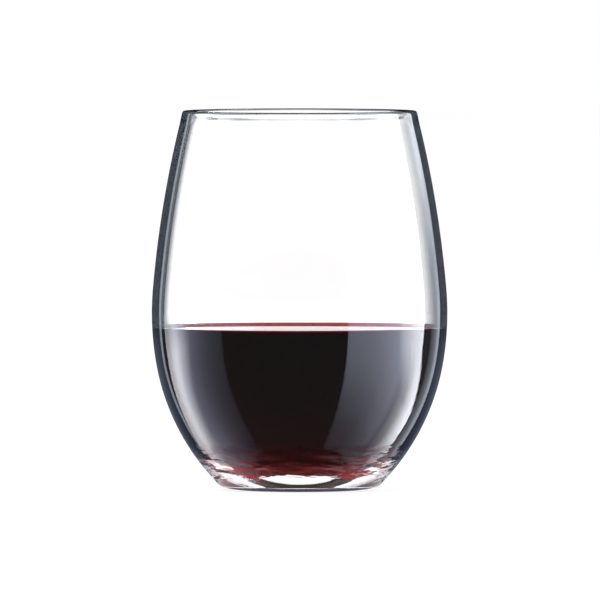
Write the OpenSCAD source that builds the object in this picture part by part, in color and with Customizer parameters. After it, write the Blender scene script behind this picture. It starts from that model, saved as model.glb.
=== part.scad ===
// Stemless wine glass with a pour of red wine.
// Both pieces are turned around the Z axis from one outline of tangent arcs.
// Origin: centre of the resting plane, +Z up, millimetres.

/* [Glass outside] */
// Height from the table to the top of the rim
glass_h = 114.4; // [106:0.1:124]
// Diameter at the widest point, the belly
belly_d = 89; // [84:0.5:96]
// Height of the belly above the table
belly_z = 53.4; // [50:0.1:57]
// Radius of the arc that runs through the belly
belly_arc_r = 88.5; // [82:0.5:100]
// Rise of the belly arc above the belly, where the side arc takes over
side_rise = 7.6; // [4:0.1:12]
// Radius of the long arc from there to the rim
side_arc_r = 330; // [240:5:480]
// Drop of the belly arc below the belly, where the bowl arc takes over
bowl_drop = 14.7; // [11:0.1:18]
// Radius of the arc from there down to the heel
bowl_arc_r = 68.6; // [65:0.2:74]

/* [Foot] */
// Diameter of the flat ring that touches the table, to its outer edge
contact_d = 29; // [24:0.5:34]
// Width of that flat ring
contact_w = 1.5; // [1:0.1:2.5]
// Depth of the shallow dish inside the ring
dish_depth = 0.9; // [0.5:0.1:1.6]
// Radius of the arc that sweeps up from the ring to the heel
sweep_arc_r = 37.6; // [32:0.2:44]
// Radius of the heel, where the sweep turns up into the bowl
heel_r = 2; // [1:0.1:3]

/* [Glass wall] */
// Thickness of the even wall, from the rim down to the belly
wall_t = 1.7; // [1.4:0.05:2.2]
// Diameter of the fire-polished bead along the rim
rim_bead_d = 1.9; // [1.7:0.05:2.6]
// Height of the inner floor above the table
floor_z = 6.5; // [5.5:0.1:7.5]
// Radius of the arc of the inner floor
floor_arc_r = 32; // [28:0.5:36]
// Radius of the inner arc from the floor up to the even wall
thick_arc_r = 48.5; // [47:0.1:50]

/* [Wine] */
// Height of the wine's surface above the table
fill_z = 49; // [30:0.5:80]

/* [Hidden] */
$fn = 360;
// Heights where arcs meet are rounded to this
grid = 0.001;

// Each arc is [centre radius, centre height, arc radius]
belly_r = belly_d / 2;
belly_arc = [belly_r - belly_arc_r, belly_z, belly_arc_r];
side_z = belly_z + side_rise;
side_arc = arc_touching(belly_arc, side_z, side_arc_r);
bowl_z = belly_z - bowl_drop;
bowl_arc = arc_touching(belly_arc, bowl_z, bowl_arc_r);

// Foot
contact_r = contact_d / 2;
sweep_arc = [contact_r, sweep_arc_r, sweep_arc_r];
heel_arc = arc_between(bowl_arc, sweep_arc, heel_r);
heel_top_z = touch_z(bowl_arc, heel_arc);
heel_low_z = touch_z(sweep_arc, heel_arc);
dish_r = contact_r - contact_w;
dish_arc_r = (dish_r * dish_r + dish_depth * dish_depth) / (2 * dish_depth);
dish_arc = [0, dish_depth - dish_arc_r, dish_arc_r];

// Inside, the side and belly arcs run parallel to the outer ones
in_side_arc = shrink(side_arc, wall_t);
in_belly_arc = shrink(belly_arc, wall_t);
in_side_z = touch_z(in_side_arc, in_belly_arc);
floor_arc = [0, floor_z + floor_arc_r, floor_arc_r];
thick_arc = arc_between(in_belly_arc, floor_arc, thick_arc_r);
even_z = touch_z(in_belly_arc, thick_arc);
thick_low_z = touch_z(thick_arc, floor_arc);

// Rim
bead_z = glass_h - rim_bead_d / 2;
bead_arc = [edge_r(shrink(side_arc, wall_t / 2), bead_z), bead_z, rim_bead_d / 2];

// Width of the squares that cut arcs to their band of heights
reach = belly_d;

function snap(v) = round(v / grid) * grid;

// Radius from the axis of an arc's outer edge at a height
function edge_r(arc, z) = arc[0] + sqrt(arc[2] * arc[2] - (z - arc[1]) * (z - arc[1]));

// The same arc moved inwards by a thickness
function shrink(arc, t) = [arc[0], arc[1], arc[2] - t];

// An arc of another radius that touches a given arc at a height
function arc_touching(arc, z, r) =
    let (up = (z - arc[1]) / arc[2], out = sqrt(1 - up * up))
    [edge_r(arc, z) - r * out, z - r * up, r];

// Height at which an arc touches the smaller one inside it
function touch_z(big, small) =
    big[1] + (small[1] - big[1]) * big[2] / (big[2] - small[2]);

// The arc of a given radius that touches an upper arc and a lower one
function arc_between(upper, lower, r) =
    let (
        to_upper = upper[2] - r,
        to_lower = lower[2] - r,
        dx = lower[0] - upper[0],
        dz = lower[1] - upper[1],
        d = sqrt(dx * dx + dz * dz),
        along = (to_upper * to_upper - to_lower * to_lower + d * d) / (2 * d),
        aside = sqrt(to_upper * to_upper - along * along) * (to_lower > 0 ? 1 : -1)
    )
    [upper[0] + (along * dx + aside * dz) / d, upper[1] + (along * dz - aside * dx) / d, r];

// A full disc on an arc's centre. The rest that snap() leaves is moved on its own,
// which keeps the digits that one long move would drop.
module disc(arc) {
    translate([snap(arc[0]), snap(arc[1])])
    translate([arc[0] - snap(arc[0]), arc[1] - snap(arc[1])])
    circle(r = arc[2]);
}

// The half outline that one arc bounds between two heights
module arc_band(arc, low, high) {
    intersection() {
        translate([0, snap(low)]) square([reach, snap(high) - snap(low)]);
        union() {
            disc(arc);
            if (arc[0] > 0) translate([0, snap(low)]) square([arc[0], snap(high) - snap(low)]);
        }
    }
}

// Everything inside the outer surface, from the table to the bead's centre
module outer_outline() {
    difference() {
        union() {
            arc_band(sweep_arc, 0, heel_low_z);
            arc_band(heel_arc, heel_low_z, heel_top_z);
            arc_band(bowl_arc, heel_top_z, bowl_z);
            arc_band(belly_arc, bowl_z, side_z);
            arc_band(side_arc, side_z, bead_z);
        }
        disc(dish_arc);
    }
}

// The hollow of the cup, from its floor to above the rim
module cup_outline() {
    union() {
        arc_band(floor_arc, floor_z, thick_low_z);
        arc_band(thick_arc, thick_low_z, even_z);
        arc_band(in_belly_arc, even_z, in_side_z);
        arc_band(in_side_arc, in_side_z, glass_h);
    }
}

module glass_vessel() {
    color([0.86, 0.90, 0.92, 0.35])
    rotate_extrude() {
        difference() {
            outer_outline();
            cup_outline();
        }
        disc(bead_arc);
    }
}

module red_wine() {
    color([0.23, 0.02, 0.06])
    rotate_extrude()
    intersection() {
        cup_outline();
        translate([0, floor_z]) square([reach, fill_z - floor_z]);
    }
}

glass_vessel();
red_wine();
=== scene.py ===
"""Looks of a stemless wine glass with a pour of red wine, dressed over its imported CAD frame.

The glass and the wine are turned finely from the arcs of the CAD outline and stand for the two CAD
nodes. The studio is a white sweep with soft panels and black flags, as glass is photographed.
Lengths of the glass and the wine are millimetres, those of the studio and the camera metres. Meshes
are made in metres.
"""

from __future__ import annotations

import logging
import math
from collections.abc import Callable, Sequence
from dataclasses import dataclass, field
from enum import Enum
from typing import Any

import bpy
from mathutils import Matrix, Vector

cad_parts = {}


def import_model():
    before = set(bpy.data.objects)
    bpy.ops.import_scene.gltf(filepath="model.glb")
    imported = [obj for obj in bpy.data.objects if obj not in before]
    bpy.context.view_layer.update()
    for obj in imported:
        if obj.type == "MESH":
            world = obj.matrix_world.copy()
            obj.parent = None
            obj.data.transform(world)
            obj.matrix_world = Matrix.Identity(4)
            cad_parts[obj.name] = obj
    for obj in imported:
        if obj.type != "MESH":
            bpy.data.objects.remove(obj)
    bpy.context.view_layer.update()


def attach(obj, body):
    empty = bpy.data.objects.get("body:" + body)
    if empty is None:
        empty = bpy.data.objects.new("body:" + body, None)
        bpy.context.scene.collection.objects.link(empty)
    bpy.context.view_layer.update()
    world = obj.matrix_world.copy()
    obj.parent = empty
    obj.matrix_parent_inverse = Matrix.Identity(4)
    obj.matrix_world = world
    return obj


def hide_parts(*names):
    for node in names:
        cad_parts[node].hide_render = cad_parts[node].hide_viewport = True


LOG = logging.getLogger("wine_glass")
MM = 0.001
Point = tuple[float, float]
Colour = tuple[float, float, float, float]
Spot = tuple[float, float, float]
# Colour sockets of a Mix node
MIX_A, MIX_B, MIX_RESULT = 6, 7, 2
# How often light may turn in all, through glass, and off mirrors
BOUNCES, GLASS_BOUNCES, MIRROR_BOUNCES = 24, 20, 12


def grey(level: float) -> Colour:
    """A neutral colour of one linear level."""
    return (level, level, level, 1.0)


def smoothstep(value: float) -> float:
    """Eases a share from 0 to 1 with no corner at either end."""
    t = min(max(value, 0.0), 1.0)
    return t * t * (3.0 - 2.0 * t)


class MathOp(Enum):
    """The operations that expressions on sockets use."""

    ADD = "ADD"
    SUBTRACT = "SUBTRACT"
    MULTIPLY = "MULTIPLY"
    DIVIDE = "DIVIDE"
    MAXIMUM = "MAXIMUM"
    MINIMUM = "MINIMUM"


@dataclass(frozen=True)
class Lumps:
    """One kind of smooth noise.

    The scale counts lumps per metre. A high stretch on an axis makes the lumps thin that way. The detail
    counts octaves of finer lumps, and rough is how strong those are.
    """

    scale: float
    stretch: Spot
    detail: float
    rough: float = 0.5


WAVE = Lumps(120.0, (1.0, 1.0, 4.0), 2.5, 0.45)
LONG_WAVE = Lumps(28.0, (1.0, 1.0, 0.6), 1.0)
DRIFT = Lumps(90.0, (1.0, 1.0, 3.0), 3.0)
SPECKLE = Lumps(2600.0, (1.0, 1.0, 1.0), 3.0, 0.7)
SWIRL = Lumps(35.0, (1.0, 1.0, 1.0), 1.0)
FIBRE = Lumps(300.0, (1.0, 1.0, 1.0), 4.0)


@dataclass
class Signal:
    """A number socket that Python expressions can work with."""

    graph: Graph
    socket: bpy.types.NodeSocket

    def _with(self, operation: MathOp, first: Any, second: Any) -> Signal:
        """Adds one Math node.

        Args:
            operation: The sum to work out.
            first: The upper operand, a signal or a number.
            second: The lower operand, a signal or a number.

        Returns:
            The result as a signal.
        """
        node = self.graph.node("ShaderNodeMath", {"operation": operation.value}, {0: first, 1: second})
        return Signal(self.graph, node.outputs[0])

    def __add__(self, other: Any) -> Signal:
        """The sum of two values."""
        return self._with(MathOp.ADD, self, other)

    __radd__ = __add__

    def __sub__(self, other: Any) -> Signal:
        """This value less another."""
        return self._with(MathOp.SUBTRACT, self, other)

    def __rsub__(self, other: Any) -> Signal:
        """Another value less this one."""
        return self._with(MathOp.SUBTRACT, other, self)

    def __mul__(self, other: Any) -> Signal:
        """The product of two values."""
        return self._with(MathOp.MULTIPLY, self, other)

    __rmul__ = __mul__

    def __truediv__(self, other: Any) -> Signal:
        """This value over another."""
        return self._with(MathOp.DIVIDE, self, other)

    def at_least(self, other: Any) -> Signal:
        """The larger of two values."""
        return self._with(MathOp.MAXIMUM, self, other)

    def at_most(self, other: Any) -> Signal:
        """The smaller of two values."""
        return self._with(MathOp.MINIMUM, self, other)

    def held(self) -> Signal:
        """This value held between 0 and 1."""
        return self.at_least(0.0).at_most(1.0)


class Graph:
    """A node tree that is filled from Python."""

    def __init__(self, tree: bpy.types.NodeTree) -> None:
        """Clears a tree and keeps it.

        Args:
            tree: The node tree of a material or a world.
        """
        self.tree = tree
        tree.nodes.clear()

    def node(
        self, kind: str, settings: dict[str, Any] | None = None, sockets: dict[Any, Any] | None = None
    ) -> bpy.types.Node:
        """Makes any node: its settings first, then the values or links of its sockets.

        Args:
            kind: Blender's name of the node type.
            settings: Attributes of the node; "stops" fills a colour ramp with (place, colour) pairs.
            sockets: Values, signals or output sockets by input name or number.

        Returns:
            The new node.
        """
        made = self.tree.nodes.new(kind)
        for name, value in (settings or {}).items():
            if name == "stops":
                self._fill_ramp(made.color_ramp, value)
            else:
                setattr(made, name, value)
        for name, value in (sockets or {}).items():
            source = value.socket if isinstance(value, Signal) else value
            if isinstance(source, bpy.types.NodeSocket):
                self.tree.links.new(source, made.inputs[name])
            else:
                made.inputs[name].default_value = source
        return made

    @staticmethod
    def _fill_ramp(ramp: bpy.types.ColorRamp, stops: Sequence[tuple[float, Colour]]) -> None:
        """Gives a colour ramp its stops.

        Args:
            ramp: The ramp of a Color Ramp node.
            stops: Places from 0 to 1, rising, each with its colour.
        """
        while len(ramp.elements) < len(stops):
            ramp.elements.new(1.0)
        for element, (place, colour) in zip(ramp.elements, stops):
            element.position = place
            element.color = colour

    def signal(self, node: bpy.types.Node, output: str | int = 0) -> Signal:
        """One output of a node as a signal."""
        return Signal(self, node.outputs[output])

    def height(self) -> Signal:
        """Height above the table in metres, from the object's own coordinates."""
        spot = self.node("ShaderNodeTexCoord")
        split = self.node("ShaderNodeSeparateXYZ", {}, {0: spot.outputs["Object"]})
        return self.signal(split, "Z")

    def noise(self, lumps: Lumps) -> Signal:
        """Smooth noise over the object's own coordinates.

        Args:
            lumps: The kind of noise.

        Returns:
            Values around 0.5.
        """
        spot = self.node("ShaderNodeTexCoord")
        place = self.node("ShaderNodeMapping", {}, {"Vector": spot.outputs["Object"], "Scale": lumps.stretch})
        sockets = {
            "Vector": place.outputs[0],
            "Scale": lumps.scale,
            "Detail": lumps.detail,
            "Roughness": lumps.rough,
        }
        return self.signal(self.node("ShaderNodeTexNoise", {}, sockets))

    def finish(self, sockets: dict[str, Any], kind: str = "ShaderNodeOutputMaterial") -> None:
        """Adds the output node with its links."""
        self.node(kind, {}, sockets)


def new_material(name: str) -> tuple[bpy.types.Material, Graph]:
    """A material with no nodes yet, and the graph to fill it."""
    made = bpy.data.materials.new(name)
    made.use_nodes = True
    return made, Graph(made.node_tree)


def new_object(name: str, data: bpy.types.ID) -> bpy.types.Object:
    """An object with its mesh, light or camera, linked to the scene."""
    made = bpy.data.objects.new(name, data)
    bpy.context.scene.collection.objects.link(made)
    return made


class GlassZone(Enum):
    """The parts of the glass's skin that are finished apart."""

    OUTSIDE = "outside"
    DRY_INSIDE = "dry_inside"
    WETTED_INSIDE = "wetted_inside"
    WETTED_FLOOR = "wetted_floor"
    FOOT = "foot"
    RIM = "rim"
    DISH = "dish"


@dataclass(frozen=True)
class ClearGlass:
    """Clear soda-lime glass, with painted shade at its edges.

    Where a surface is met at a flat angle, light that comes through it has turned away from the white
    sweep. A ramp on facing paints that shade into the base colour, so edges read dark from every side.
    Its stops pair a cosine with the share of clear glass. Below a given height the painted shade lets
    go towards clear.
    """

    zone: GlassZone
    ior: float
    # Painted shade: each cosine of facing paired with the share of clear glass kept there.
    painted_edge_shade: tuple[tuple[float, float], ...] = ((0.0, 1.0), (1.0, 1.0))
    ripple: float = 0.0
    ripple_top: float = 20.0
    ripple_low: float = 0.0
    ripple_rise: float = 3.0
    ripple_fall: float = 0.6
    long_wave: float = 0.015
    scuff_top: float = 0.35
    scuff: float = 0.5
    # Height in millimetres below which the painted shade lets go towards clear.
    painted_shade_from: float = 0.0
    painted_shade_fall: float = 0.5
    clear: tuple[float, float, float] = (1.0, 1.0, 1.0)
    # The colour of the painted shade at flat angles.
    dark: tuple[float, float, float] = (0.030, 0.037, 0.052)

    def _stops(self) -> list[tuple[float, Colour]]:
        """The ramp of painted shade from head-on to edge-on.

        Returns:
            Stops by facing, which is 1 less the cosine, with squared transmission, since the shader
            takes the root of the colour at each crossing.
        """
        stops = []
        for cosine, through in sorted(self.painted_edge_shade, reverse=True):
            mixed = [(d + (c - d) * through) ** 2 for c, d in zip(self.clear, self.dark)]
            stops.append((1.0 - cosine, (mixed[0], mixed[1], mixed[2], 1.0)))
        return stops

    def _painted_edge_shade(self, graph: Graph, height: Signal) -> bpy.types.NodeSocket:
        """The painted edge shade by facing, which lets go towards clear low on the body.

        Args:
            graph: The material's nodes.
            height: Height above the table in metres.

        Returns:
            The colour's socket.
        """
        facing = graph.node("ShaderNodeLayerWeight", {}, {"Blend": 0.5}).outputs["Facing"]
        # Painted shade: the ramp darkens the base colour where the surface is met edge-on.
        tint = graph.node("ShaderNodeValToRGB", {"stops": self._stops()}, {0: facing}).outputs[0]
        if not self.painted_shade_from:
            return tint
        drift = graph.noise(DRIFT) - 0.5
        fall = self.painted_shade_fall * self.painted_shade_from * MM
        let_go = ((self.painted_shade_from * MM - height) / fall + drift).held()
        sockets = {"Factor": let_go, MIX_A: tint, MIX_B: grey(1.0)}
        return graph.node("ShaderNodeMix", {"data_type": "RGBA"}, sockets).outputs[MIX_RESULT]

    def _waves(self, graph: Graph, height: Signal) -> bpy.types.NodeSocket:
        """The waves that casting leaves: short ones low on the body, and long ones all over.

        Args:
            graph: The material's nodes.
            height: Height above the table in metres.

        Returns:
            The socket of the bumped normal.
        """
        low = ((self.ripple_top * MM - height) / (self.ripple_fall * self.ripple_top * MM)).held()
        low = low * ((height - self.ripple_low * MM) / (self.ripple_rise * MM)).held()
        wave = graph.noise(WAVE) - 0.5
        long_wave = graph.noise(LONG_WAVE) - 0.5
        height_map = wave * low + long_wave * (self.long_wave / self.ripple)
        sockets = {"Strength": 1.0, "Distance": self.ripple * MM, "Height": height_map}
        return graph.node("ShaderNodeBump", {}, sockets).outputs[0]

    def material(self) -> bpy.types.Material:
        """Builds the glass.

        Returns:
            A Principled glass with painted shade at its edges, faint waves low on the body and scuffs on the
            resting ring.
        """
        made, graph = new_material(f"clear_glass_{self.zone.value}")
        height = graph.height()
        sockets: dict[str, Any] = {
            # The base colour carries the painted edge shade.
            "Base Color": self._painted_edge_shade(graph, height),
            "Transmission Weight": 1.0,
            "IOR": self.ior,
            "Roughness": 0.0,
        }
        if self.ripple:
            sockets["Normal"] = self._waves(graph, height)
        if self.zone is GlassZone.FOOT:
            worn = ((self.scuff_top * MM - height) / (self.scuff_top * MM)).held()
            sockets["Roughness"] = worn * graph.noise(SPECKLE) * self.scuff
        shader = graph.node("ShaderNodeBsdfPrincipled", {}, sockets)
        graph.finish({"Surface": shader.outputs[0]})
        return made


@dataclass(frozen=True)
class RedWine:
    """Deep red wine: clear to the eye only in thin layers.

    Its body meets the wetted glass, whose own finish bends the light there, so only the free surface
    bends light here. The mesh marks that surface with its skin attribute.
    """

    name: str = "red_wine"
    ior: float = 1.34
    skin_tint: Colour = (0.11, 0.0, 0.0006, 1.0)
    density: float = 1600.0
    swirl_depth: float = 0.004
    passes: Colour = (0.949, 0.0, 0.70, 1.0)

    @staticmethod
    def _face(graph: Graph, tint: Colour, ior: float, normal: bpy.types.NodeSocket) -> bpy.types.Node:
        """One face of the wine.

        Args:
            graph: The material's nodes.
            tint: The colour of light that crosses it.
            ior: How much it bends light.
            normal: The bumped normal.

        Returns:
            A clear Principled shader.
        """
        sockets = {
            "Base Color": tint,
            "Transmission Weight": 1.0,
            "IOR": ior,
            "Roughness": 0.0,
            "Normal": normal,
        }
        return graph.node("ShaderNodeBsdfPrincipled", {}, sockets)

    def material(self) -> bpy.types.Material:
        """Builds the wine.

        Returns:
            A surface round an absorbing volume, with the faint unevenness of a poured liquid's skin.
        """
        made, graph = new_material(self.name)
        uneven = {"Strength": 1.0, "Distance": self.swirl_depth * MM, "Height": graph.noise(SWIRL)}
        bump = graph.node("ShaderNodeBump", {}, uneven)
        skin = graph.node("ShaderNodeAttribute", {"attribute_name": "skin"})
        against_glass = self._face(graph, grey(1.0), 1.0, bump.outputs[0])
        free = self._face(graph, self.skin_tint, self.ior, bump.outputs[0])
        faces = {0: skin.outputs["Fac"], 1: against_glass.outputs[0], 2: free.outputs[0]}
        shader = graph.node("ShaderNodeMixShader", {}, faces)
        thickness = {"Color": self.passes, "Density": self.density}
        body = graph.node("ShaderNodeVolumeAbsorption", {}, thickness)
        graph.finish({"Surface": shader.outputs[0], "Volume": body.outputs[0]})
        return made


@dataclass(frozen=True)
class Arc:
    """One arc of the outline: its centre and its radius."""

    centre_r: float
    centre_z: float
    radius: float

    def between(self, start: float, end: float, step: float) -> list[Point]:
        """Points along the arc's outer side, without its last one.

        Args:
            start: The height where it starts.
            end: The height where it ends.
            step: The spacing wanted, in millimetres.

        Returns:
            Points as (radius, height).
        """
        first = math.asin(max(-1.0, min(1.0, (start - self.centre_z) / self.radius)))
        last = math.asin(max(-1.0, min(1.0, (end - self.centre_z) / self.radius)))
        count = max(2, math.ceil(abs(last - first) * self.radius / step))
        return [self.beside(first + (last - first) * i / count) for i in range(count)]

    def beside(self, turn: float, offset: float = 0.0) -> Point:
        """The point at a turn round the arc's centre, at an offset outwards from the arc."""
        reach = self.radius + offset
        return (self.centre_r + reach * math.cos(turn), self.centre_z + reach * math.sin(turn))


@dataclass(frozen=True)
class Spacing:
    """How far apart the points of each arc lie, in millimetres, and into how many steps the ends go."""

    sweep: float = 0.35
    heel: float = 0.12
    bowl: float = 0.55
    belly: float = 0.7
    side: float = 1.0
    thick: float = 0.5
    dish: int = 24
    ease: int = 6
    blend: int = 12
    crown: int = 24
    floor: int = 24


@dataclass(frozen=True)
class Outline:
    """The arcs and heights of the CAD section, in millimetres."""

    dish_depth: float = 0.9
    dish: Arc = Arc(0.0, -93.43889, 94.33889)
    dish_ease: float = 0.5
    ring_in: float = 13.0
    ring_flat: float = 0.9
    sweep: Arc = Arc(14.5, 37.6, 37.6)
    sweep_top: float = 1.002
    heel: Arc = Arc(22.664, 2.949, 2.0)
    heel_top: float = 1.533
    bowl: Arc = Arc(-24.376, 50.095, 68.6)
    bowl_top: float = 38.7
    belly: Arc = Arc(-44.0, 53.4, 88.5)
    belly_top: float = 61.0
    side: Arc = Arc(-284.608, 32.661, 330.0)
    wall: float = 1.7
    bead: float = 0.95
    bead_z: float = 113.45
    blend_z: float = 110.2
    side_low: float = 60.854
    thick: Arc = Arc(-4.2032, 52.8991, 47.0)
    thick_top: float = 52.305
    thick_low: float = 7.785
    floor: Arc = Arc(0.0, 38.5, 32.0)
    spacing: Spacing = Spacing()

    def middle(self) -> Arc:
        """The arc along the middle of the upper wall."""
        return Arc(self.side.centre_r, self.side.centre_z, self.side.radius - self.wall / 2)

    def inner_side(self) -> Arc:
        """The inner arc of the upper wall."""
        return Arc(self.side.centre_r, self.side.centre_z, self.side.radius - self.wall)

    def inner_belly(self) -> Arc:
        """The inner arc of the belly."""
        return Arc(self.belly.centre_r, self.belly.centre_z, self.belly.radius - self.wall)

    def foot(self) -> list[Point]:
        """The underside from the axis out to the heel's top, the dish's edge eased."""
        space = self.spacing
        points = [(0.0, self.dish_depth)]
        dish_end = self.ring_in - self.dish_ease
        for i in range(1, space.dish + 1):
            r = dish_end * i / space.dish
            points.append((r, self.dish.centre_z + math.sqrt(self.dish.radius**2 - r * r)))
        start_z = points[-1][1]
        for i in range(1, space.ease + 1):
            t = i / space.ease
            points.append((dish_end + 2.0 * self.dish_ease * t, start_z * (1.0 - t) ** 2))
        points.append((self.ring_in + self.ring_flat, 0.0))
        points += self.sweep.between(0.0, self.sweep_top, space.sweep)
        points += self.heel.between(self.sweep_top, self.heel_top, space.heel)
        return points

    def outside(self) -> list[Point]:
        """The outer wall from the heel up to the rim's blend."""
        space = self.spacing
        points = self.bowl.between(self.heel_top, self.bowl_top, space.bowl)
        points += self.belly.between(self.bowl_top, self.belly_top, space.belly)
        points += self.side.between(self.belly_top, self.blend_z, space.side)
        return points

    def rim(self) -> list[Point]:
        """The fire-polished bead, from the outer wall over the top to the inner wall."""
        space = self.spacing
        mid = self.middle()
        low = math.asin((self.blend_z - mid.centre_z) / mid.radius)
        high = math.asin((self.bead_z - mid.centre_z) / mid.radius)
        spine = []
        for i in range(space.blend + 1):
            t = i / space.blend
            turn = low + (high - low) * i / space.blend
            spine.append((turn, self.wall / 2 + (self.bead - self.wall / 2) * smoothstep(t)))
        outer = [mid.beside(turn, half) for turn, half in spine]
        inner = [mid.beside(turn, -half) for turn, half in reversed(spine)]
        bead = Arc(mid.centre_r + mid.radius * math.cos(high), self.bead_z, self.bead)
        crown = [bead.beside(high + math.pi * i / space.crown) for i in range(1, space.crown)]
        return outer + crown + inner

    def inside(self, top: float, outward: float = 0.0) -> list[Point]:
        """The inner wall from a height down to the pole of the floor.

        Args:
            top: The height to start from.
            outward: How far the points lie outside the wall's face, into the glass.

        Returns:
            Points as (radius, height), the last one on the axis.
        """
        space = self.spacing
        points: list[Point] = []
        for arc, high, low, step in (
            (self.inner_side(), math.inf, self.side_low, space.side),
            (self.inner_belly(), self.side_low, self.thick_top, space.belly),
            (self.thick, self.thick_top, self.thick_low, space.thick),
        ):
            if top > low:
                grown = Arc(arc.centre_r, arc.centre_z, arc.radius + outward)
                points += grown.between(min(top, high), low, step)
        floor = Arc(0.0, self.floor.centre_z, self.floor.radius + outward)
        start = math.asin((self.thick_low - floor.centre_z) / floor.radius)
        for i in range(space.floor):
            points.append(floor.beside(start + (-math.pi / 2 - start) * i / space.floor))
        points.append((0.0, floor.centre_z - floor.radius))
        return points


@dataclass
class Lathe:
    """Turns a section round the Z axis into a smooth closed mesh."""

    segments: int = 288

    def turn(
        self, name: str, points: Sequence[Point], zone_of: Callable[[Point, Point], int]
    ) -> bpy.types.Object:
        """Makes the turned object.

        Args:
            name: The piece's name.
            points: The section in millimetres, with its first and last point on the axis.
            zone_of: Gives the material slot of the band between two points.

        Returns:
            The object, linked to the scene.
        """
        rings = points[1:-1]
        angles = [math.tau * k / self.segments for k in range(self.segments)]
        turns = [(math.cos(a), math.sin(a)) for a in angles]
        spots = [(0.0, 0.0, points[0][1] * MM)]
        for r, z in rings:
            spots += [(r * c * MM, r * s * MM, z * MM) for c, s in turns]
        spots.append((0.0, 0.0, points[-1][1] * MM))
        last = len(spots) - 1
        faces: list[tuple[int, ...]] = []
        for k in range(self.segments):
            nxt = (k + 1) % self.segments
            faces.append((0, 1 + nxt, 1 + k))
            for i in range(len(rings) - 1):
                a, b = 1 + i * self.segments, 1 + (i + 1) * self.segments
                faces.append((a + k, a + nxt, b + nxt, b + k))
            a = 1 + (len(rings) - 1) * self.segments
            faces.append((a + k, a + nxt, last))
        zones = [zone_of(a, b) for a, b in zip(points, points[1:])] * self.segments
        mesh = bpy.data.meshes.new(name)
        mesh.from_pydata(spots, [], faces)
        mesh.polygons.foreach_set("material_index", zones)
        mesh.polygons.foreach_set("use_smooth", [True] * len(faces))
        mesh.update()
        return new_object(name, mesh)


@dataclass
class GlassVessel:
    """The glass: foot, bowl, wall and rim bead in one body.

    The skin is finished in zones, told apart by height and by side. It is wetted up to the wine's lip.
    """

    outline: Outline = field(default_factory=Outline)
    lathe: Lathe = field(default_factory=Lathe)
    wet_to: float = 49.15
    foot_to: float = 14.3
    floor_to: float = 8.8
    rim_from: float = 113.7
    dish_to: float = 13.2
    finishes: tuple[ClearGlass, ...] = (
        # The third value of each finish is its painted edge shade, which darkens the glass where it is met
        # edge-on. The rim is painted dark unless seen nearly head-on.
        ClearGlass(
            GlassZone.OUTSIDE,
            1.5,
            ((0.0, 0.05), (0.30, 0.02), (0.37, 0.22), (0.46, 0.70), (0.54, 1.0), (1.0, 1.0)),
            ripple=0.10,
            painted_shade_from=14.0,
        ),
        ClearGlass(
            GlassZone.DRY_INSIDE,
            1.5,
            ((0.0, 0.40), (0.17, 0.34), (0.30, 0.17), (0.34, 0.40), (0.39, 0.66), (0.43, 0.82), (0.50, 0.95),
             (0.57, 1.0), (1.0, 1.0)),
        ),
        ClearGlass(GlassZone.WETTED_INSIDE, 1.07, ripple=0.25),
        ClearGlass(GlassZone.WETTED_FLOOR, 1.17, ripple=0.04),
        ClearGlass(
            GlassZone.FOOT,
            1.40,
            ((0.0, 0.10), (0.30, 0.15), (0.40, 0.6), (0.5, 1.0), (1.0, 1.0)),
            ripple=0.60,
            ripple_low=3.6,
            painted_shade_from=14.0,
        ),
        ClearGlass(
            GlassZone.RIM,
            1.5,
            ((0.0, 0.04), (0.6, 0.06), (0.8, 0.25), (0.93, 0.85), (0.97, 1.0), (1.0, 1.0)),
        ),
        ClearGlass(GlassZone.DISH, 1.17, ripple=0.04),
    )

    def section(self) -> list[Point]:
        """The whole section, from under the foot over the rim to the inner floor."""
        line = self.outline
        return line.foot() + line.outside() + line.rim() + line.inside(line.blend_z)[1:]

    def build(self) -> bpy.types.Object:
        """Turns the glass and gives each zone of its skin its finish.

        Returns:
            The glass, which stands for its CAD node.
        """
        points = self.section()
        rim_at = max(range(len(points)), key=lambda i: points[i][1])
        place = {id(p): i for i, p in enumerate(points)}
        slots = {finish.zone: i for i, finish in enumerate(self.finishes)}

        def zone(first: Point, second: Point) -> int:
            """The slot of a band, by its height and by whether it lies before the rim's top."""
            height = (first[1] + second[1]) / 2
            if height > self.rim_from:
                found = GlassZone.RIM
            elif place[id(second)] > rim_at:
                low = GlassZone.WETTED_INSIDE if height > self.floor_to else GlassZone.WETTED_FLOOR
                found = GlassZone.DRY_INSIDE if height > self.wet_to else low
            elif height < self.outline.dish_depth and second[0] < self.dish_to:
                found = GlassZone.DISH
            else:
                found = GlassZone.OUTSIDE if height > self.foot_to else GlassZone.FOOT
            return slots[found]

        made = self.lathe.turn("glass_body", points, zone)
        for finish in self.finishes:
            made.data.materials.append(finish.material())
        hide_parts("glass_vessel")
        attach(made, "root")
        return made


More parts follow.
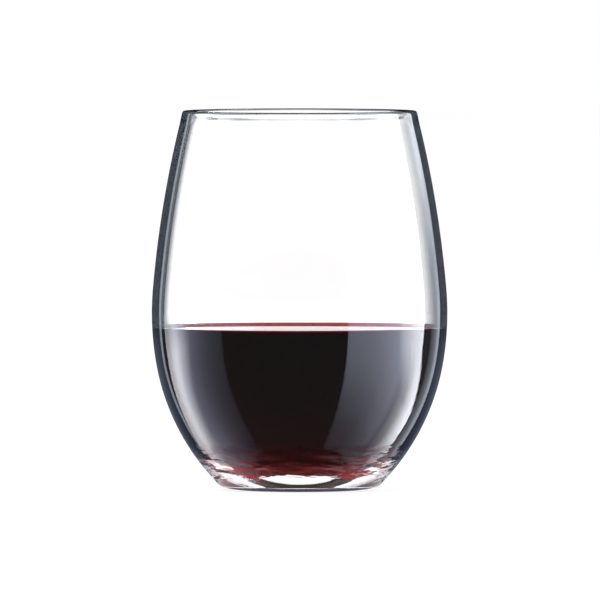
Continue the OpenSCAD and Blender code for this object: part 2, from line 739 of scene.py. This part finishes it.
@dataclass
class WinePour:
    """The wine, level in the cup, with the lip that climbs the glass."""

    outline: Outline = field(default_factory=Outline)
    lathe: Lathe = field(default_factory=Lathe)
    level: float = 48.35
    climb: float = 0.8
    climb_reach: float = 0.8
    lip_span: float = 7.5
    lip_steps: int = 48
    top_steps: int = 12
    overlap: float = 0.004
    finish: RedWine = RedWine()

    def build(self) -> bpy.types.Object:
        """Turns the wine and dresses it.

        Returns:
            The wine, which stands for its CAD node.
        """
        wall_top = self.level + self.climb
        side = list(reversed(self.outline.inside(wall_top, self.overlap)))
        edge = side[-1][0]
        top: list[Point] = []
        for i in range(1, self.lip_steps + 1):
            inward = self.lip_span * (i / self.lip_steps) ** 2
            top.append((edge - inward, self.level + self.climb * math.exp(-inward / self.climb_reach)))
        for i in range(1, self.top_steps):
            top.append(((edge - self.lip_span) * (1.0 - i / self.top_steps), self.level))
        top.append((0.0, self.level))
        points = side + top
        side_ids = {id(p) for p in side}
        made = self.lathe.turn("wine_body", points, lambda a, b: 0 if id(b) in side_ids else 1)
        free = [0] * len(made.data.polygons)
        made.data.polygons.foreach_get("material_index", free)
        made.data.polygons.foreach_set("material_index", [0] * len(free))
        self._crease(made.data, len(side) - 2)
        skin = made.data.attributes.new("skin", "FLOAT", "FACE")
        skin.data.foreach_set("value", [float(v) for v in free])
        made.data.materials.append(self.finish.material())
        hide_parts("red_wine")
        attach(made, "root")
        return made

    def _crease(self, mesh: bpy.types.Mesh, ring: int) -> None:
        """Makes the wine's lip a sharp edge.

        Args:
            mesh: The turned wine.
            ring: Which of its rings the lip is.
        """
        low = 1 + ring * self.lathe.segments
        lip = range(low, low + self.lathe.segments)
        for edge in mesh.edges:
            edge.use_edge_sharp = edge.vertices[0] in lip and edge.vertices[1] in lip


class Rays(Enum):
    """Which rays meet a card of the studio."""

    REFLECTED = "reflected"
    ALL = "all"


@dataclass(frozen=True)
class Glow:
    """One patch of light on a card, as the glass sees it.

    Azimuths are in degrees from the front, right of the photograph positive; elevations in degrees.
    """

    colour: tuple[float, float, float]
    stops: tuple[tuple[float, float], ...]
    fade: tuple[tuple[float, float], ...] = ((-90.0, 1.0), (90.0, 1.0))
    slant: float = 0.0
    slant_from: float = -8.0
    slant_to: float = -23.0

    @staticmethod
    def _between(stops: Sequence[tuple[float, float]], place: float) -> float:
        """The value at a place, straight between the rising stops and 0 outside them."""
        for (a, x), (b, y) in zip(stops, stops[1:]):
            if a <= place <= b:
                return x + (y - x) * (place - a) / (b - a)
        return 0.0

    def at(self, azimuth: float, elevation: float) -> tuple[float, ...]:
        """The light towards the glass.

        Args:
            azimuth: Where on the card, round the glass.
            elevation: Where on the card, above the level of the glass.

        Returns:
            Red, green and blue.
        """
        drop = min(max(self.slant_from - elevation, 0.0), self.slant_from - self.slant_to)
        level = self._between(self.stops, azimuth - self.slant * drop) * self._between(self.fade, elevation)
        return tuple(level * c for c in self.colour)


def hang(
    name: str,
    spots: Sequence[Spot],
    faces: Sequence[tuple[int, ...]],
    glow: Sequence[float],
    rays: Rays,
    material: bpy.types.Material,
) -> None:
    """Hangs a shining mesh in the studio that the camera doesn't see.

    Args:
        name: The mesh's name.
        spots: Its corners in metres.
        faces: Its faces.
        glow: Red, green, blue and alpha of every corner, in one row.
        rays: Which rays meet it.
        material: The finish that shines with the mesh's own glow.
    """
    mesh = bpy.data.meshes.new(name)
    mesh.from_pydata(spots, [], faces)
    mesh.attributes.new("glow", "FLOAT_COLOR", "POINT").data.foreach_set("color", glow)
    mesh.materials.append(material)
    made = new_object(name, mesh)
    made.visible_camera = made.visible_diffuse = made.visible_shadow = made.visible_volume_scatter = False
    made.visible_transmission = rays is Rays.ALL


@dataclass(frozen=True)
class Card:
    """A curved card round the glass: a soft panel where it glows and a black flag where it doesn't."""

    name: str
    rays: Rays
    first: float
    last: float
    glows: tuple[Glow, ...]
    radius: float = 2.0
    steepest: float = 63.0
    column: float = 0.5
    rows: int = 50

    def build(self, material: bpy.types.Material) -> None:
        """Hangs the card, a piece of the drum round the glass.

        Args:
            material: The finish that shines with the mesh's own glow.
        """
        count = max(2, round((self.last - self.first) / self.column))
        rows = self.rows
        spots: list[Spot] = []
        levels: list[float] = []
        for i in range(count + 1):
            azimuth = self.first + (self.last - self.first) * i / count
            turn = math.radians(azimuth)
            x, y = self.radius * math.sin(turn), -self.radius * math.cos(turn)
            for j in range(rows + 1):
                elevation = self.steepest * (2.0 * j / rows - 1.0)
                spots.append((x, y, self.radius * math.tan(math.radians(elevation))))
                parts = [glow.at(azimuth, elevation) for glow in self.glows]
                levels += [sum(part) for part in zip(*parts)] + [1.0]
        step = rows + 1
        faces = [
            (i * step + j, (i + 1) * step + j, (i + 1) * step + j + 1, i * step + j + 1)
            for i in range(count)
            for j in range(rows)
        ]
        hang(self.name, spots, faces, levels, self.rays, material)


def ray_kinds(graph: Graph) -> tuple[Signal, Signal]:
    """Whether a ray comes straight from the camera, and whether it comes by way of glass."""
    path = graph.node("ShaderNodeLightPath")
    camera = graph.signal(path, "Is Camera Ray")
    return camera, graph.signal(path, "Is Glossy Ray").at_least(graph.signal(path, "Is Transmission Ray"))


@dataclass(frozen=True)
class Lamp:
    """One soft square lamp that points at the glass."""

    name: str
    spot: Spot
    watts: float
    size: float = 1.4
    aim: Spot = (0.0, 0.0, 0.05)

    def build(self) -> None:
        """Hangs the lamp."""
        light = bpy.data.lights.new(self.name, "AREA")
        light.shape = "SQUARE"
        light.size = self.size
        light.energy = self.watts
        made = new_object(self.name, light)
        made.location = self.spot
        made.rotation_mode = "QUATERNION"
        made.rotation_quaternion = (Vector(self.aim) - Vector(self.spot)).to_track_quat("-Z", "Y")
        made.visible_glossy = made.visible_transmission = False


@dataclass
class Studio:
    """White sweep, soft light, panels and flags."""

    floor_half: float = 6.0
    floor_drop: float = 0.00005
    paper_tone: float = 0.96
    paper_rough: float = 0.4
    camera_share: float = 0.85
    camera_lift: float = 0.025
    plain: float = 0.8
    through_white: float = 1.14
    low_glow: float = 0.06
    low_hole: float = 0.001
    paper_band: tuple[float, float] = (0.0225, 0.028)
    paper_drop: float = 0.00004
    round_steps: int = 64
    ceiling: tuple[tuple[float, float], ...] = ((0.0, 1.0), (0.20, 1.0), (0.50, 0.15), (1.0, 0.15))
    lamps: tuple[Lamp, ...] = (
        Lamp("lamp_left", (-1.6, -1.0, 1.8), 60.0),
        Lamp("lamp_right", (1.7, -0.6, 1.6), 40.0),
    )
    cards: tuple[Card, ...] = (
        Card("panel_right", Rays.ALL, 38.0, 142.4, (
            Glow((1.0, 1.07, 1.33),
                 ((38.0, 1.6), (40.0, 2.5), (62.0, 3.2), (79.0, 4.3), (90.0, 5.0), (98.0, 3.0),
                  (106.0, 0.2), (150.0, 0.1)),
                 ((-63.0, 0.15), (-52.0, 0.20), (-46.0, 0.26), (-40.0, 0.37), (-33.0, 0.48), (-25.0, 0.65),
                  (-16.0, 0.85), (-8.0, 1.0), (63.0, 1.0))),
            Glow((0.97, 1.0, 1.08),
                 ((84.0, 0.0), (96.0, 5.6), (100.0, 8.0), (106.0, 10.6), (114.0, 10.8), (114.3, 0.0)),
                 ((-63.0, 0.15), (-45.0, 0.30), (-37.0, 0.55), (-30.0, 0.80), (-25.0, 0.90), (-8.0, 1.0),
                  (63.0, 1.0)),
                 0.8),
            Glow((0.9, 1.0, 1.15), ((125.0, 0.2), (135.0, 1.0), (138.0, 1.75), (142.4, 1.75))),
            Glow((0.97, 1.0, 1.05), ((118.0, 0.0), (125.0, 0.8), (130.0, 1.2), (134.0, 2.2), (142.4, 2.0)),
                 ((5.5, 0.0), (7.9, 0.45), (9.5, 1.0), (63.0, 1.0))),
        )),
        Card("panel_left", Rays.ALL, -142.4, -63.5, (
            Glow((1.0, 1.07, 1.40),
                 ((-150.0, 0.1), (-128.0, 0.1), (-116.0, 1.5), (-107.0, 2.0), (-98.0, 1.7), (-92.0, 1.35),
                  (-86.0, 1.1), (-77.0, 0.78), (-70.0, 0.62), (-63.5, 0.5)),
                 ((-63.0, 0.4), (-55.0, 0.5), (-45.0, 0.7), (-35.0, 0.75), (-25.0, 0.82), (-16.0, 0.9),
                  (-8.0, 1.0), (63.0, 1.0))),
            Glow((0.98, 1.0, 1.06),
                 ((-131.5, 0.0), (-131.0, 3.0), (-126.0, 3.4), (-119.0, 5.8), (-114.0, 6.0), (-108.0, 3.8),
                  (-103.0, 2.2), (-97.0, 0.2), (-94.0, 0.0)),
                 ((-63.0, 0.15), (-45.0, 0.30), (-37.0, 0.60), (-30.0, 0.95), (-8.0, 1.0), (-3.0, 0.6),
                  (63.0, 0.6)),
                 -0.45, -8.0, -33.0),
            Glow((0.9, 1.0, 1.15), ((-142.4, 1.2), (-138.0, 1.2), (-137.5, 0.0))),
        )),
        Card("flag_front", Rays.ALL, -63.5, 38.0, (Glow((0.15, 0.15, 0.15), ((-64.0, 1.0), (38.0, 1.0))),)),
        Card("flag_back", Rays.REFLECTED, 142.4, 217.6, (
            Glow((0.08, 0.095, 0.135), ((142.0, 1.0), (218.0, 1.0)),
                 ((-90.0, 1.0), (-20.0, 1.3), (-7.0, 2.1), (-3.0, 1.9), (-0.5, 0.4), (90.0, 0.4))),
        )),
    )

    @staticmethod
    def _card_material() -> bpy.types.Material:
        """A face that shines with the mesh's own glow."""
        made, graph = new_material("studio_card")
        made.cycles.emission_sampling = "NONE"
        glow = graph.node("ShaderNodeAttribute", {"attribute_name": "glow"})
        shine = graph.node("ShaderNodeEmission", {}, {"Color": glow.outputs["Color"], "Strength": 1.0})
        graph.finish({"Surface": shine.outputs[0]})
        return made

    def _floor_material(self) -> bpy.types.Material:
        """White paper that keeps the soft shadow, and plain white behind glass."""
        made, graph = new_material("studio_paper")
        made.cycles.emission_sampling = "NONE"
        camera, through = ray_kinds(graph)
        share = (camera * self.camera_share).at_least(through)
        rough = graph.noise(FIBRE) * self.paper_rough
        paper = graph.node("ShaderNodeBsdfDiffuse", {}, {"Color": grey(self.paper_tone), "Roughness": rough})
        level = through * (self.through_white - 1.0) * (1.0 - camera) + camera * self.camera_lift + 1.0
        white = graph.node("ShaderNodeEmission", {}, {"Color": grey(1.0), "Strength": level})
        mixed = graph.node("ShaderNodeMixShader", {}, {0: share, 1: paper.outputs[0], 2: white.outputs[0]})
        graph.finish({"Surface": mixed.outputs[0]})
        return made

    def build_floor(self) -> None:
        """Lays the pale floor under the glass."""
        h = self.floor_half
        mesh = bpy.data.meshes.new("floor")
        mesh.from_pydata([(-h, -h, 0.0), (h, -h, 0.0), (h, h, 0.0), (-h, h, 0.0)], [], [(0, 1, 2, 3)])
        mesh.materials.append(self._floor_material())
        floor = new_object("floor", mesh)
        floor.location.z = -self.floor_drop
        floor.visible_glossy = False

    def _round(
        self, name: str, band: tuple[float, float], height: float, glow: float, material: bpy.types.Material
    ) -> None:
        """Lays a level round with a hole, which only reflections meet.

        Args:
            name: The round's name.
            band: The radius of its hole and its own radius, in metres.
            height: Its height in metres.
            glow: Its light.
            material: The finish that shines with the mesh's own glow.
        """
        count = self.round_steps
        turns = [math.tau * k / count for k in range(count)]
        spots = [(r * math.cos(a), r * math.sin(a), height) for r in band for a in turns]
        faces = [(k, (k + 1) % count, count + (k + 1) % count, count + k) for k in range(count)]
        hang(name, spots, faces, grey(glow) * (2 * count), Rays.REFLECTED, material)

    def build_pan(self, material: bpy.types.Material) -> None:
        """Closes the drum of cards below with a dark round, for reflections only.

        Args:
            material: The finish that shines with the mesh's own glow.
        """
        card = self.cards[0]
        low = -card.radius * math.tan(math.radians(card.steepest))
        self._round("flag_low", (self.low_hole, card.radius), low, self.low_glow, material)

    def build_foot_paper(self, material: bpy.types.Material) -> None:
        """Shows the white paper round the foot to the reflections in its underside.

        Args:
            material: The finish that shines with the mesh's own glow.
        """
        self._round("paper_at_foot", self.paper_band, -self.paper_drop, 1.0, material)

    def build_world(self) -> None:
        """White behind the glass and in it, plain soft light on everything else."""
        world = bpy.data.worlds.new("studio_world")
        bpy.context.scene.world = world
        world.use_nodes = True
        graph = Graph(world.node_tree)
        camera, through = ray_kinds(graph)
        sky = graph.node("ShaderNodeTexCoord")
        rise = graph.node("ShaderNodeSeparateXYZ", {}, {0: sky.outputs["Generated"]})
        stops = [(place, grey(level)) for place, level in self.ceiling]
        dim = graph.signal(graph.node("ShaderNodeValToRGB", {"stops": stops}, {0: rise.outputs["Z"]}))
        level = camera + (1.0 - camera) * (through * dim * self.through_white + (1.0 - through) * self.plain)
        back = graph.node("ShaderNodeBackground", {}, {"Color": grey(1.0), "Strength": level})
        graph.finish({"Surface": back.outputs[0]}, "ShaderNodeOutputWorld")

    def build(self) -> None:
        """Sets up the floor, the world, the cards and the lamps."""
        self.build_floor()
        self.build_world()
        material = self._card_material()
        for card in self.cards:
            card.build(material)
            LOG.info("card %s", card.name)
        self.build_pan(material)
        self.build_foot_paper(material)
        for lamp in self.lamps:
            lamp.build()


@dataclass
class Viewpoint:
    """The camera, far off and almost level with the glass."""

    distance: float = 7.8
    elevation: float = 1.54
    aim: tuple[float, float] = (0.00012, 0.05735)
    frame_width: float = 0.18066
    sensor: float = 36.0
    clip: tuple[float, float] = (0.1, 40.0)

    def build(self) -> bpy.types.Object:
        """Makes the scene's camera.

        Returns:
            The camera, level and aimed at the middle of the picture.
        """
        data = bpy.data.cameras.new("camera")
        data.sensor_width = self.sensor
        data.lens = self.sensor * self.distance / self.frame_width
        data.clip_start, data.clip_end = self.clip
        made = new_object("camera", data)
        rise = math.radians(self.elevation)
        x, z = self.aim
        made.location = (x, -self.distance * math.cos(rise), z + self.distance * math.sin(rise))
        made.rotation_euler = (math.pi / 2 - rise, 0.0, 0.0)
        bpy.context.scene.camera = made
        return made


def settle_scene() -> None:
    """Sets the colour view and how often light may turn in the thick foot."""
    scene = bpy.context.scene
    scene.view_settings.view_transform = "Standard"
    scene.cycles.max_bounces = BOUNCES
    scene.cycles.transmission_bounces = GLASS_BOUNCES
    scene.cycles.glossy_bounces = MIRROR_BOUNCES


def main() -> None:
    """Builds the piece of glassware, its wine and the studio, in order."""
    logging.basicConfig(level=logging.INFO, format="%(name)s: %(message)s")
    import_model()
    settle_scene()
    glass = GlassVessel().build()
    LOG.info("%s: %d faces", glass.name, len(glass.data.polygons))
    wine = WinePour().build()
    LOG.info("%s: %d faces", wine.name, len(wine.data.polygons))
    Studio().build()
    camera = Viewpoint().build()
    LOG.info("camera lens %.0f mm", camera.data.lens)


if __name__ == "__main__":
    main()
